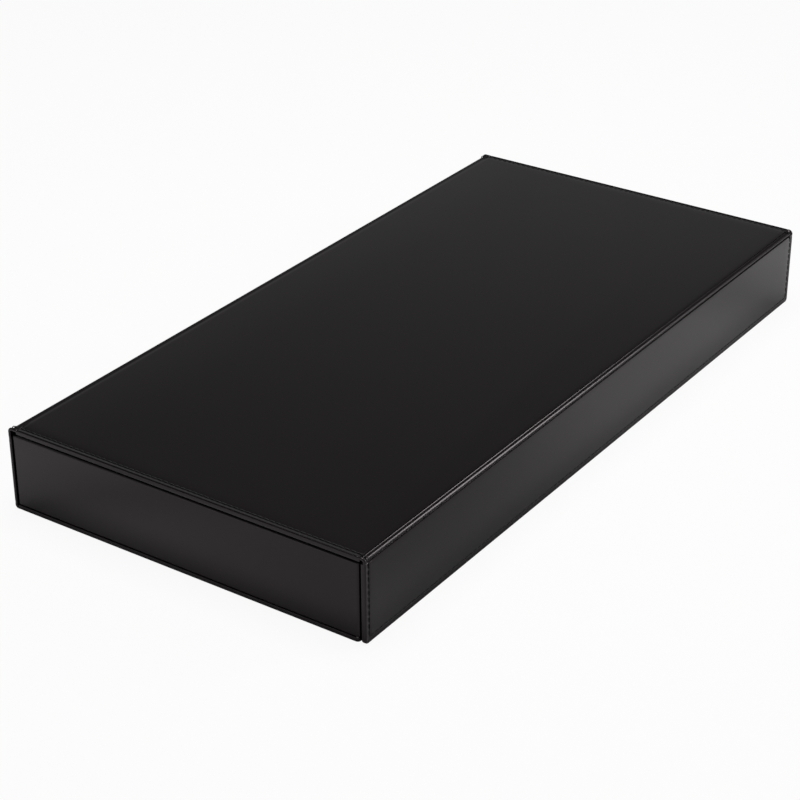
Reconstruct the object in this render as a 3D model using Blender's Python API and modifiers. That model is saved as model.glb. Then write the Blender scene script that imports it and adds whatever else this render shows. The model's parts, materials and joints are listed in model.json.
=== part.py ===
# Eyeglasses storage box: a book-style case of wrapped boards that closes round a divided tray.
# Metres, +Z up. The origin is under the middle of the closed box, on the surface it stands on.
# The spine is at -X, the front flap at +X, and the length runs along Y.

import math

import bmesh
import bpy
from mathutils import Matrix, Vector

# Closed box
box_length = 0.508
box_width = 0.252
box_height = 0.054

# Sheet materials and the room between glued or seated pieces
leatherette = 0.0006
cover_board = 0.0015
spine_card = 0.0006
glue_line = 0.00015
seat_gap = 0.0003
cut_overrun = 0.003

# Cover panels and folds
panel_edge_radius = 0.0013
turn_in_width = 0.012
lid_fold_radius = 0.0060
lid_fold_tail = 0.0003
lid_hinge_depth = 0.0013
flap_fold_radius = 0.0030
flap_fold_tail = 0.0003
flap_hinge_depth = 0.00065
base_fold_radius = 0.0020
base_fold_tail = 0.0010
spine_clearance = 0.0007
flap_clearance = 0.0016
flap_floor_clearance = 0.0003
lid_clearance = 0.0012

# Tray
tray_recess = 0.0008
wall_board = 0.0030
floor_board = 0.0020
tray_edge_radius = 0.0011
rim_turn_in_depth = 0.010

# Dividers and pads
compartments_across = 4
compartments_along = 3
divider_thickness = 0.0045
divider_drop = 0.0010
divider_edge_radius = 0.0014
pad_thickness = 0.0045
pad_crown = 0.0012
pad_side_draw = 0.0006
pad_clearance = 0.0005

# Closure
magnet_radius = 0.006
magnet_thickness = 0.0012
keeper_thickness = 0.0012
magnet_height = 0.020
magnet_length_share = 0.38

# Worked out from the sizes above
panel_thickness = 2 * leatherette + cover_board + 2 * glue_line
spine_thickness = 2 * leatherette + spine_card + 2 * glue_line
lid_fold_reach = lid_fold_radius + lid_fold_tail
flap_fold_reach = flap_fold_radius + flap_fold_tail
base_fold_reach = base_fold_radius + base_fold_tail
fold_thickness = 2 * leatherette
spine_x = -box_width / 2
flap_x = box_width / 2
spine_edge = lid_fold_reach + seat_gap
flap_edge = flap_fold_reach + seat_gap
base_edge = base_fold_reach + seat_gap
tray_low = Vector((
    spine_x + spine_thickness + spine_clearance,
    tray_recess - box_length / 2,
    panel_thickness + seat_gap,
))
tray_high = Vector((
    flap_x - panel_thickness - flap_clearance,
    box_length / 2 - tray_recess,
    box_height - panel_thickness - lid_clearance,
))
wall_outset = leatherette + glue_line
wall_thickness = 2 * wall_outset + wall_board
inner_low = tray_low + Vector((wall_thickness, wall_thickness, 0))
inner_high = tray_high - Vector((wall_thickness, wall_thickness, 0))
floor_top = tray_low.z + floor_board
lining_top = tray_high.z - rim_turn_in_depth - seat_gap
divider_top = tray_high.z - divider_drop
divider_foot = floor_top + seat_gap
slot_clearance = seat_gap
cell_width = (inner_high.x - inner_low.x - (compartments_across - 1) * divider_thickness) / compartments_across
cell_length = (inner_high.y - inner_low.y - (compartments_along - 1) * divider_thickness) / compartments_along

parts = None
cutters = None
finishes = {}


def clear_scene():
    for item in list(bpy.data.objects):
        bpy.data.objects.remove(item, do_unlink=True)


def make_collection(name):
    collection = bpy.data.collections.new(name)
    bpy.context.scene.collection.children.link(collection)
    return collection


def add_finish(name, colour, roughness, metallic=0.0):
    material = bpy.data.materials.new(name)
    material.use_nodes = True
    shader = material.node_tree.nodes["Principled BSDF"]
    shader.inputs["Base Color"].default_value = (*colour, 1.0)
    shader.inputs["Roughness"].default_value = roughness
    shader.inputs["Metallic"].default_value = metallic
    finishes[name] = material


def add_finishes():
    add_finish("leatherette", (0.012, 0.011, 0.011), 0.42)
    add_finish("greyboard", (0.30, 0.28, 0.25), 0.90)
    add_finish("suede", (0.035, 0.033, 0.034), 0.95)
    add_finish("padding", (0.045, 0.043, 0.044), 0.95)
    add_finish("nickel", (0.62, 0.60, 0.56), 0.25, 1.0)
    add_finish("steel", (0.45, 0.45, 0.46), 0.40, 1.0)


def add_axis(name, place, parent=None):
    axis = bpy.data.objects.new(name, None)
    parts.objects.link(axis)
    hang(axis, place, parent)
    return axis


def world_place(item):
    place = Vector(item.location)
    while item.parent is not None:
        item = item.parent
        place += item.location
    return place


def hang(item, place, parent):
    item.location = Vector(place)
    if parent is not None:
        item.location -= world_place(parent)
        item.parent = parent


def add_part(name, mesh, finish, place=(0, 0, 0), turn=0, parent=None):
    item = bpy.data.objects.new(name, mesh)
    parts.objects.link(item)
    item.rotation_euler = (0, turn, 0)
    hang(item, place, parent)
    mesh.materials.clear()
    mesh.materials.append(finishes[finish].copy())
    mesh.materials[0].name = name
    return item


def box_mesh(name, low, high):
    low = Vector(low)
    high = Vector(high)
    shape = bmesh.new()
    bmesh.ops.create_cube(shape, size=1)
    bmesh.ops.scale(shape, vec=high - low, verts=shape.verts)
    bmesh.ops.translate(shape, vec=(low + high) / 2, verts=shape.verts)
    mesh = bpy.data.meshes.new(name)
    shape.to_mesh(mesh)
    shape.free()
    return mesh


def disc_mesh(name, centre, radius, thickness):
    # A disc whose axis lies along X.
    shape = bmesh.new()
    bmesh.ops.create_cone(shape, cap_ends=True, segments=24, radius1=radius, radius2=radius, depth=thickness)
    for vertex in shape.verts:
        vertex.co = Vector((vertex.co.z, vertex.co.x, vertex.co.y))
    bmesh.ops.translate(shape, vec=centre, verts=shape.verts)
    bmesh.ops.recalc_face_normals(shape, faces=shape.faces)
    mesh = bpy.data.meshes.new(name)
    shape.to_mesh(mesh)
    shape.free()
    mesh.shade_smooth()
    mesh.set_sharp_from_angle(angle=math.radians(40))
    return mesh


def outline_mesh(name, points, thickness, upright=False):
    # A flat outline given thickness: it lies in XY, or stands in XZ when upright, about its own plane.
    curve = bpy.data.curves.new(name, "CURVE")
    curve.dimensions = "2D"
    curve.fill_mode = "BOTH"
    curve.extrude = thickness / 2
    spline = curve.splines.new("POLY")
    spline.points.add(len(points) - 1)
    for target, point in zip(spline.points, points):
        target.co = (point[0], point[1], 0, 1)
    spline.use_cyclic_u = True
    source = bpy.data.objects.new(name, curve)
    if upright:
        source.rotation_euler = (math.pi / 2, 0, 0)
    parts.objects.link(source)
    bpy.context.view_layer.update()
    graph = bpy.context.evaluated_depsgraph_get()
    mesh = bpy.data.meshes.new_from_object(source.evaluated_get(graph))
    mesh.transform(source.matrix_world)
    bpy.data.objects.remove(source, do_unlink=True)
    bpy.data.curves.remove(curve)
    shape = bmesh.new()
    shape.from_mesh(mesh)
    bmesh.ops.remove_doubles(shape, verts=shape.verts, dist=glue_line / 10)
    bmesh.ops.recalc_face_normals(shape, faces=shape.faces)
    shape.to_mesh(mesh)
    shape.free()
    mesh.name = name
    return mesh


def round_edges(item, radius, segments=3):
    bevel = item.modifiers.new("rounded edges", "BEVEL")
    bevel.width = radius
    bevel.segments = segments
    bevel.limit_method = "ANGLE"
    bevel.angle_limit = math.radians(40)
    item.data.shade_smooth()
    item.data.set_sharp_from_angle(angle=math.radians(50))


def cut(item, mesh):
    cutter = bpy.data.objects.new(f"{item.name} cutter", mesh)
    cutters.objects.link(cutter)
    cutter.parent = item
    cutter.hide_render = True
    cutter.display_type = "WIRE"
    boolean = item.modifiers.new("cut", "BOOLEAN")
    boolean.operation = "DIFFERENCE"
    boolean.solver = "EXACT"
    boolean.object = cutter


def cut_box(item, low, high):
    cut(item, box_mesh(f"{item.name} cut", low, high))


# Cover panels. Each is drawn flat, outer face up at z = 0, then turned and placed.
# A free side has its leatherette turned in over the board; a hinged side runs on into a fold.

def side_limits(width, inset, low_free, high_free, hinged_inset=0.0):
    low = -width / 2 + (inset if low_free else hinged_inset)
    high = width / 2 - (inset if high_free else hinged_inset)
    return low, high


def add_panel_skin(name, width, low_free, high_free, thickness, **placing):
    half_length = box_length / 2
    low, high = side_limits(width, 0.0, low_free, high_free, -cut_overrun)
    slab = box_mesh(name, (low, -half_length, -thickness), (high, half_length, 0))
    skin = add_part(name, slab, "leatherette", **placing)
    round_edges(skin, panel_edge_radius)
    reach = half_length + cut_overrun
    beyond = width / 2 + 2 * cut_overrun
    if not low_free:
        cut_box(skin, (-beyond, -reach, -thickness - cut_overrun), (-width / 2, reach, cut_overrun))
    if not high_free:
        cut_box(skin, (width / 2, -reach, -thickness - cut_overrun), (beyond, reach, cut_overrun))
    low, high = side_limits(width, leatherette, low_free, high_free, -cut_overrun)
    end = half_length - leatherette
    cut_box(skin, (low, -end, leatherette - thickness), (high, end, -leatherette))
    low, high = side_limits(width, turn_in_width, low_free, high_free, -cut_overrun)
    end = half_length - turn_in_width
    cut_box(skin, (low, -end, -thickness - cut_overrun), (high, end, -thickness / 2))
    return skin


def add_panel_board(name, width, low_free, high_free, thickness, **placing):
    low, high = side_limits(width, wall_outset, low_free, high_free)
    end = box_length / 2 - wall_outset
    mesh = box_mesh(name, (low, -end, wall_outset - thickness), (high, end, -wall_outset))
    return add_part(name, mesh, "greyboard", **placing)


def add_panel_liner(name, width, low_free, high_free, thickness, **placing):
    inset = turn_in_width + seat_gap
    low, high = side_limits(width, inset, low_free, high_free)
    end = box_length / 2 - inset
    mesh = box_mesh(name, (low, -end, -thickness), (high, end, leatherette - thickness))
    return add_part(name, mesh, "suede", **placing)


def add_panel(name, width, low_free, high_free, thickness=panel_thickness, **placing):
    add_panel_skin(f"{name}_skin", width, low_free, high_free, thickness, **placing)
    board = add_panel_board(f"{name}_board", width, low_free, high_free, thickness, **placing)
    add_panel_liner(f"{name}_liner", width, low_free, high_free, thickness, **placing)
    return board


def arc_points(centre, radius, start, end, steps=8):
    points = []
    for step in range(steps + 1):
        angle = start + (end - start) * step / steps
        points.append((centre[0] + radius * math.cos(angle), centre[1] + radius * math.sin(angle)))
    return points


def fold_outline(radius, reach, side, level):
    # Drawn for a corner with its outside at the origin, running back along -x and down along -y.
    quarter = math.pi / 2
    centre = (-radius, -radius)
    outer = arc_points(centre, radius, quarter, 0)
    inner = arc_points(centre, radius - fold_thickness, 0, quarter)
    points = [(-reach, 0)] + outer + [(0, -reach), (-fold_thickness, -reach)] + inner + [(-reach, -fold_thickness)]
    return [(side * x, level * y) for x, y in points]


def add_fold(name, radius, reach, side, level, corner, parent=None):
    length = box_length - 2 * (panel_edge_radius - leatherette)
    mesh = outline_mesh(name, fold_outline(radius, reach, side, level), length, upright=True)
    fold = add_part(name, mesh, "leatherette", place=corner, parent=parent)
    fold.data.shade_smooth()
    fold.data.set_sharp_from_angle(angle=math.radians(40))


def add_cover(lid_axis, flap_axis):
    quarter = math.pi / 2
    base_low = spine_x + base_edge
    base_high = tray_high.x
    base_middle = (base_low + base_high) / 2
    add_panel("base", base_high - base_low, True, False, place=(base_middle, 0, 0), turn=math.pi)
    add_fold("base_fold", base_fold_radius, base_fold_reach, -1, -1, (spine_x, 0, 0))
    spine_height = box_height - spine_edge - base_edge
    spine_middle = base_edge + spine_height / 2
    place = (spine_x, 0, spine_middle)
    add_panel("spine", spine_height, False, False, thickness=spine_thickness, place=place, turn=-quarter)
    add_fold("lid_fold", lid_fold_radius, lid_fold_reach, -1, 1, (spine_x, 0, box_height), parent=lid_axis)
    lid_width = box_width - spine_edge - flap_edge
    lid_middle = spine_x + spine_edge + lid_width / 2
    add_panel("lid", lid_width, False, False, place=(lid_middle, 0, box_height), parent=lid_axis)
    add_fold("flap_fold", flap_fold_radius, flap_fold_reach, 1, 1, (flap_x, 0, box_height), parent=flap_axis)
    flap_height = box_height - flap_edge - flap_floor_clearance
    flap_middle = flap_floor_clearance + flap_height / 2
    board = add_panel(
        "flap", flap_height, False, True, place=(flap_x, 0, flap_middle), turn=quarter, parent=flap_axis
    )
    return board, flap_middle


# Closure. The magnets sit in holes through the flap board, the keepers in pockets in the tray wall.

def closure_places():
    reach = box_length * magnet_length_share
    return {"near": -reach, "middle": 0, "far": reach}


def upright_disc(name, drop, along, radius, depth, level):
    # A cutter in a panel's own frame, where the board lies flat and the disc's axis is z.
    mesh = disc_mesh(name, Vector((0, 0, 0)), radius, depth)
    for vertex in mesh.vertices:
        vertex.co = Vector((vertex.co.z + drop, vertex.co.y + along, vertex.co.x + level))
    mesh.flip_normals()
    return mesh


def add_magnets(flap_board, flap_middle, flap_axis):
    middle_level = -panel_thickness / 2
    for name, along in closure_places().items():
        drop = flap_middle - magnet_height
        depth = cover_board + cut_overrun
        hole = upright_disc(f"magnet hole {name}", drop, along, magnet_radius + glue_line, depth, middle_level)
        cut(flap_board, hole)
        disc = disc_mesh(f"flap_magnet_{name}", (0, 0, 0), magnet_radius, magnet_thickness)
        place = (flap_x - panel_thickness / 2, along, magnet_height)
        add_part(f"flap_magnet_{name}", disc, "nickel", place=place, parent=flap_axis)


def add_keepers(wall):
    face = tray_high.x - wall_outset
    for name, along in closure_places().items():
        depth = keeper_thickness + glue_line + cut_overrun
        middle = (face - keeper_thickness - glue_line + depth / 2, along, magnet_height)
        cut(wall, disc_mesh(f"keeper pocket {name}", middle, magnet_radius + glue_line, depth))
        disc = disc_mesh(f"keeper_{name}", (0, 0, 0), magnet_radius, keeper_thickness)
        place = (face - keeper_thickness / 2, along, magnet_height)
        add_part(f"keeper_{name}", disc, "steel", place=place)


# Tray

def wall_outline(side):
    # A mitred wall seen from above: long outside, short inside. side is near, far, spine or flap.
    low = tray_low + Vector((wall_outset, wall_outset, 0))
    high = tray_high - Vector((wall_outset, wall_outset, 0))
    mitre_gap = seat_gap / 2
    if side in ("near", "far"):
        outside = low.y if side == "near" else high.y
        inside = low.y + wall_board if side == "near" else high.y - wall_board
        start = low.x + mitre_gap
        end = high.x - mitre_gap
        return [(start, outside), (end, outside), (end - wall_board, inside), (start + wall_board, inside)]
    outside = low.x if side == "spine" else high.x
    inside = low.x + wall_board if side == "spine" else high.x - wall_board
    start = low.y + mitre_gap
    end = high.y - mitre_gap
    return [(outside, start), (outside, end), (inside, end - wall_board), (inside, start + wall_board)]


def add_tray_boards():
    wall_top = tray_high.z - wall_outset
    height = wall_top - tray_low.z
    walls = {}
    for side in ("near", "far", "spine", "flap"):
        name = f"tray_wall_{side}"
        mesh = outline_mesh(name, wall_outline(side), height)
        mesh.transform(Matrix.Translation((0, 0, tray_low.z + height / 2)))
        walls[side] = add_part(name, mesh, "greyboard")
    edge = Vector((wall_outset - seat_gap, wall_outset - seat_gap, 0))
    low = inner_low - edge
    high = inner_high + edge
    floor = box_mesh("tray_floor", (low.x, low.y, tray_low.z), (high.x, high.y, floor_top))
    add_part("tray_floor", floor, "greyboard")
    return walls


def add_tray_wrap():
    below = tray_low.z - 2 * cut_overrun
    outer = box_mesh("tray_wrap", (tray_low.x, tray_low.y, tray_low.z - cut_overrun), tray_high)
    wrap = add_part("tray_wrap", outer, "leatherette")
    round_edges(wrap, tray_edge_radius)
    over = Vector((cut_overrun, cut_overrun, 0))
    cut_box(wrap, (*(tray_low - over).xy, below), (*(tray_high + over).xy, tray_low.z))
    cut_box(wrap, (*inner_low.xy, below), (*inner_high.xy, tray_high.z + cut_overrun))
    skin = Vector((leatherette, leatherette, 0))
    channel = wall_thickness - 2 * leatherette
    low = tray_low + skin
    high = tray_high - skin
    roof = tray_high.z - leatherette
    cut_box(wrap, (low.x, low.y, below), (high.x, low.y + channel, roof))
    cut_box(wrap, (low.x, high.y - channel, below), (high.x, high.y, roof))
    cut_box(wrap, (low.x, low.y, below), (low.x + channel, high.y, roof))
    cut_box(wrap, (high.x - channel, low.y, below), (high.x, high.y, roof))
    band = skin + Vector((glue_line, glue_line, 0))
    shoulder = tray_high.z - rim_turn_in_depth
    cut_box(wrap, (*(inner_low - band).xy, below), (*(inner_high + band).xy, shoulder))


def add_tray_lining():
    skin = Vector((leatherette, leatherette, 0))
    band = box_mesh(
        "tray_wall_lining", (*(inner_low - skin).xy, divider_foot), (*(inner_high + skin).xy, lining_top)
    )
    lining = add_part("tray_wall_lining", band, "suede")
    cut_box(
        lining,
        (*inner_low.xy, divider_foot - cut_overrun),
        (*inner_high.xy, lining_top + cut_overrun),
    )


# Dividers. The long ones are slotted from above and the cross ones from below, half and half.

def divider_places(low, cell, count):
    first = low + cell + divider_thickness / 2
    return [first + step * (cell + divider_thickness) for step in range(count - 1)]


def add_dividers():
    across = divider_places(inner_low.x, cell_width, compartments_across)
    along = divider_places(inner_low.y, cell_length, compartments_along)
    half = divider_thickness / 2
    slot = half + slot_clearance
    middle = (divider_foot + divider_top) / 2
    end_low = inner_low + Vector((seat_gap, seat_gap, 0))
    end_high = inner_high - Vector((seat_gap, seat_gap, 0))
    for number, x in enumerate(across, 1):
        name = f"long_divider_{number}"
        mesh = box_mesh(name, (x - half, end_low.y, divider_foot), (x + half, end_high.y, divider_top))
        divider = add_part(name, mesh, "suede")
        round_edges(divider, divider_edge_radius)
        for y in along:
            low = (x - half - cut_overrun, y - slot, middle - slot_clearance / 2)
            cut_box(divider, low, (x + half + cut_overrun, y + slot, divider_top + cut_overrun))
    for number, y in enumerate(along, 1):
        name = f"cross_divider_{number}"
        mesh = box_mesh(name, (end_low.x, y - half, divider_foot), (end_high.x, y + half, divider_top))
        divider = add_part(name, mesh, "suede")
        round_edges(divider, divider_edge_radius)
        for x in across:
            low = (x - slot, y - half - cut_overrun, divider_foot - cut_overrun)
            cut_box(divider, low, (x + slot, y + half + cut_overrun, middle + slot_clearance / 2))


# Floor pads: a coarse cage, crowned and drawn in at the middle of each side, then subdivided.

def pad_mesh(name, size):
    shape = bmesh.new()
    bmesh.ops.create_cube(shape, size=1)
    along = [edge for edge in shape.edges if abs((edge.verts[0].co - edge.verts[1].co).y) > 0.5]
    bmesh.ops.subdivide_edges(shape, edges=along, cuts=3, use_grid_fill=True)
    across = [edge for edge in shape.edges if abs((edge.verts[0].co - edge.verts[1].co).x) > 0.5]
    bmesh.ops.subdivide_edges(shape, edges=across, cuts=2, use_grid_fill=True)
    for vertex in shape.verts:
        share_x = math.cos(math.pi * vertex.co.x)
        share_y = math.cos(math.pi * vertex.co.y)
        drawn = Vector((math.copysign(1, vertex.co.x) * share_y, math.copysign(1, vertex.co.y) * share_x, 0))
        on_side = Vector((abs(vertex.co.x) > 0.49, abs(vertex.co.y) > 0.49, 0))
        crown = pad_crown * share_x * share_y if vertex.co.z > 0 else 0
        flat = vertex.co.z + 0.5
        vertex.co = Vector((vertex.co.x * size.x, vertex.co.y * size.y, flat * size.z + crown))
        vertex.co -= Vector((drawn.x * on_side.x, drawn.y * on_side.y, 0)) * pad_side_draw
    mesh = bpy.data.meshes.new(name)
    shape.to_mesh(mesh)
    shape.free()
    return mesh


def add_pads():
    size = Vector((cell_width - 2 * pad_clearance, cell_length - 2 * pad_clearance, pad_thickness))
    mesh = pad_mesh("floor pad", size)
    for column in range(compartments_across):
        for row in range(compartments_along):
            x = inner_low.x + cell_width / 2 + column * (cell_width + divider_thickness)
            y = inner_low.y + cell_length / 2 + row * (cell_length + divider_thickness)
            pad = add_part(f"floor_pad_{column + 1}_{row + 1}", mesh.copy(), "padding", place=(x, y, divider_foot))
            bevel = pad.modifiers.new("soft edges", "BEVEL")
            bevel.width = pad_thickness / 4
            bevel.segments = 1
            bevel.limit_method = "ANGLE"
            bevel.angle_limit = math.radians(60)
            soft = pad.modifiers.new("soft", "SUBSURF")
            soft.levels = 1
            soft.render_levels = 1
            pad.data.shade_smooth()


def build():
    global parts, cutters
    clear_scene()
    parts = make_collection("eyeglasses storage box")
    cutters = make_collection("cutters")
    add_finishes()
    lid_axis = add_axis("lid axis", (spine_x + lid_hinge_depth, 0, box_height - lid_hinge_depth))
    flap_axis = add_axis("flap axis", (flap_x - flap_hinge_depth, 0, box_height - flap_hinge_depth), lid_axis)
    flap_board, flap_middle = add_cover(lid_axis, flap_axis)
    add_magnets(flap_board, flap_middle, flap_axis)
    walls = add_tray_boards()
    add_keepers(walls["flap"])
    add_tray_wrap()
    add_tray_lining()
    add_dividers()
    add_pads()


build()
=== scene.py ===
import math

import bmesh
import bpy
from mathutils import Matrix, Vector
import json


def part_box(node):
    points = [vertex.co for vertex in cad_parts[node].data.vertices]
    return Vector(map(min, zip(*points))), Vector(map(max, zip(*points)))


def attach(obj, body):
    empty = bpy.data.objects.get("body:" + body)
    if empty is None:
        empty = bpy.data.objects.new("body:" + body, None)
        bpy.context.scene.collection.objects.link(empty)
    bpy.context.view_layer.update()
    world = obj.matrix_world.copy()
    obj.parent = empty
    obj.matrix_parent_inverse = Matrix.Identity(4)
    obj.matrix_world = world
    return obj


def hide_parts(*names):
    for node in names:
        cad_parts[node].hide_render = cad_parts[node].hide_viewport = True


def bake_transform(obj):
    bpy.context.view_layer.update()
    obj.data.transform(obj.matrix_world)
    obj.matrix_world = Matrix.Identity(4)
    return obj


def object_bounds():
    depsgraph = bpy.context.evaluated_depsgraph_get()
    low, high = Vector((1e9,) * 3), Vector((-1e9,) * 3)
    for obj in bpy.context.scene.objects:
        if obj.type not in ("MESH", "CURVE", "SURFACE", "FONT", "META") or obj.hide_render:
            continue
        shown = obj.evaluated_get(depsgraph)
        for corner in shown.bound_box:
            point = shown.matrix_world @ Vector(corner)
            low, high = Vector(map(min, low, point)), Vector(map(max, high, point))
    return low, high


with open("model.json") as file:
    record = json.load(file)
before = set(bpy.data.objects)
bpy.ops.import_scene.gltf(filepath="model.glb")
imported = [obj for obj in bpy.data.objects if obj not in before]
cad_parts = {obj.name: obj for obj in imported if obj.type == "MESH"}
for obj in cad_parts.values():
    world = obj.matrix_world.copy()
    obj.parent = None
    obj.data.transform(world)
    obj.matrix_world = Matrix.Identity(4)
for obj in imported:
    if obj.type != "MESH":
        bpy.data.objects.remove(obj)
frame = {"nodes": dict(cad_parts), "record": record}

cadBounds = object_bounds()
mm = 0.001
quarter = math.pi / 2

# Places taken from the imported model
boxLow, boxHigh = cadBounds
lidLow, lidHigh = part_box("lid_skin")
spineLow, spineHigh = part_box("spine_skin")
flapLow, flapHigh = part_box("flap_skin")
baseLow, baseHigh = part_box("base_skin")
trayLow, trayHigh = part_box("tray_wrap")
coverLength = lidHigh.y - lidLow.y
panelThick = lidHigh.z - lidLow.z


# Selecting and editing

def deselect():
    bpy.ops.object.select_all(action="DESELECT")


def edit(piece, kind="VERT"):
    deselect()
    piece.select_set(True)
    bpy.context.view_layer.objects.active = piece
    bpy.ops.object.mode_set(mode="EDIT")
    bpy.ops.mesh.select_mode(type=kind)
    bpy.ops.mesh.select_all(action="DESELECT")


def leave():
    bpy.ops.object.mode_set(mode="OBJECT")


def choose(piece, kind, test):
    # Selects the vertices, edges or faces of the edited mesh whose middle passes the test.
    shape = bmesh.from_edit_mesh(piece.data)
    for face in shape.faces:
        face.select = False
    for edge in shape.edges:
        edge.select = False
    for vertex in shape.verts:
        vertex.select = False
    found = 0
    for item in {"VERT": shape.verts, "EDGE": shape.edges, "FACE": shape.faces}[kind]:
        if test(item):
            item.select = True
            found += 1
    shape.select_flush_mode()
    bmesh.update_edit_mesh(piece.data)
    return found


def settle(piece):
    # Puts the object's place and turn into its mesh.
    deselect()
    piece.select_set(True)
    bpy.context.view_layer.objects.active = piece
    bpy.ops.object.transform_apply(location=True, rotation=True, scale=True)


def addBox(name, low, high):
    low = Vector(low)
    high = Vector(high)
    deselect()
    bpy.ops.mesh.primitive_cube_add(size=1, location=(low + high) / 2, scale=high - low)
    piece = bpy.context.object
    piece.name = name
    piece.data.name = name
    settle(piece)
    return piece


def applyAll(piece):
    deselect()
    piece.select_set(True)
    bpy.context.view_layer.objects.active = piece
    for modifier in list(piece.modifiers):
        bpy.ops.object.modifier_apply(modifier=modifier.name)


def smooth(piece, degrees=40):
    deselect()
    piece.select_set(True)
    bpy.context.view_layer.objects.active = piece
    bpy.ops.object.shade_smooth_by_angle(angle=math.radians(degrees))


def cutAt(piece, place, direction, test=None):
    # Adds one line of edges where a plane crosses the mesh, or only the faces that pass the test.
    if test is None:
        bpy.ops.mesh.select_all(action="SELECT")
    else:
        choose(piece, "FACE", test)
    bpy.ops.mesh.bisect(plane_co=place, plane_no=direction)


def copyOf(piece, name):
    deselect()
    piece.select_set(True)
    bpy.context.view_layer.objects.active = piece
    bpy.ops.object.duplicate(linked=False)
    twin = bpy.context.object
    twin.name = name
    twin.data.name = name
    return twin


def join(pieces, name):
    deselect()
    for piece in pieces:
        piece.select_set(True)
    bpy.context.view_layer.objects.active = pieces[0]
    if len(pieces) > 1:
        bpy.ops.object.join()
    pieces[0].name = name
    pieces[0].data.name = name
    return pieces[0]


def finishPiece(piece, material, body, stands=()):
    piece.data.materials.clear()
    piece.data.materials.append(material)
    if body:
        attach(piece, body)
    if stands:
        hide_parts(*stands)


# Materials

class Wire:
    # A socket that can be used in sums.
    def __init__(self, socket):
        self.socket = socket

    def maths(self, operation, first, second):
        return addNode(self.socket.id_data, "ShaderNodeMath", {"operation": operation}, {0: first, 1: second})

    def __add__(self, other):
        return self.maths("ADD", self, other)

    def __radd__(self, other):
        return self.maths("ADD", other, self)

    def __sub__(self, other):
        return self.maths("SUBTRACT", self, other)

    def __rsub__(self, other):
        return self.maths("SUBTRACT", other, self)

    def __mul__(self, other):
        return self.maths("MULTIPLY", self, other)

    def __rmul__(self, other):
        return self.maths("MULTIPLY", other, self)


def addNode(tree, kind, settings=None, sockets=None, output=0):
    made = tree.nodes.new(kind)
    for key, value in (settings or {}).items():
        if key == "stops":
            ramp = made.color_ramp
            for place, shade in value[1:-1]:
                ramp.elements.new(place)
            for element, (place, shade) in zip(ramp.elements, value):
                element.position = place
                element.color = shade
        else:
            setattr(made, key, value)
    for key, value in (sockets or {}).items():
        if isinstance(value, Wire):
            tree.links.new(value.socket, made.inputs[key])
        else:
            made.inputs[key].default_value = value
    return Wire(made.outputs[output])


def grey(value):
    return (value, value, value, 1.0)


def newMaterial(name, **constants):
    material = bpy.data.materials.new(name)
    material.use_nodes = True
    tree = material.node_tree
    shader = tree.nodes["Principled BSDF"]
    for key, value in constants.items():
        shader.inputs[key.replace("_", " ")].default_value = value
    return material, tree, shader


def feed(tree, shader, **links):
    for key, wire in links.items():
        tree.links.new(wire.socket, shader.inputs[key.replace("_", " ")])


def mixColours(tree, share, first, second):
    return addNode(
        tree, "ShaderNodeMix", {"data_type": "RGBA"}, {"Factor": share, 6: first, 7: second}, output=2
    )


def noise(tree, where, scale, detail=2.0, roughness=0.5):
    return addNode(
        tree, "ShaderNodeTexNoise", {}, {"Vector": where, "Scale": scale, "Detail": detail, "Roughness": roughness}
    )


leatherLook = {
    "dark": (0.0034, 0.0028, 0.0029, 1.0),
    "light": (0.0052, 0.0043, 0.0045, 1.0),
    "tint": (1.0, 0.89, 0.92, 1.0),
    "roughness": 0.22,
    "roughnessSpread": 0.04,
    "pebbleScale": 1500.0,
    "poreScale": 4200.0,
    "grainDepth": 0.00003,
    "grainStrength": 0.30,
}


def makeLeather(name, look):
    material, tree, shader = newMaterial(name, IOR=1.5, Specular_Tint=look["tint"])
    where = addNode(tree, "ShaderNodeTexCoord", output=3)
    warp = noise(tree, where, 900.0, 1.0)
    bent = addNode(tree, "ShaderNodeVectorMath", {"operation": "MULTIPLY_ADD"}, {0: warp, 1: (0.0004,) * 3, 2: where})
    pebbles = addNode(
        tree, "ShaderNodeTexVoronoi", {"feature": "SMOOTH_F1"},
        {"Vector": bent, "Scale": look["pebbleScale"], "Smoothness": 0.35},
    )
    pores = noise(tree, where, look["poreScale"], 2.0, 0.6)
    mottle = noise(tree, where, 38.0, 3.0, 0.55)
    broad = noise(tree, where, 9.0, 1.0)
    height = pebbles * -1.0 + pores * 0.35
    colour = mixColours(tree, mottle * 0.7 + pebbles * 0.4, look["light"], look["dark"])
    rough = look["roughness"] + (mottle - 0.5) * look["roughnessSpread"] + (broad - 0.5) * look["roughnessSpread"]
    bump = addNode(
        tree, "ShaderNodeBump", {},
        {"Strength": look["grainStrength"], "Distance": look["grainDepth"], "Height": height},
    )
    feed(tree, shader, Base_Color=colour, Roughness=rough, Normal=bump)
    return material


threadLook = {"dark": (0.002, 0.002, 0.002, 1.0), "light": (0.006, 0.0055, 0.0055, 1.0), "roughness": 0.6}


def makeThread(name, look):
    material, tree, shader = newMaterial(name, IOR=1.5)
    where = addNode(tree, "ShaderNodeTexCoord", output=3)
    strands = noise(tree, where, 3500.0, 2.0)
    shade = noise(tree, where, 260.0, 1.0)
    colour = mixColours(tree, strands * 0.6 + shade * 0.4, look["dark"], look["light"])
    bump = addNode(tree, "ShaderNodeBump", {}, {"Strength": 0.5, "Distance": 0.00008, "Height": strands})
    feed(tree, shader, Base_Color=colour, Roughness=look["roughness"] + strands * 0.15, Normal=bump)
    return material


suedeLook = {"dark": (0.024, 0.0225, 0.023, 1.0), "light": (0.052, 0.049, 0.050, 1.0)}
paddingLook = {"dark": (0.030, 0.028, 0.029, 1.0), "light": (0.066, 0.062, 0.064, 1.0)}


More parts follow.
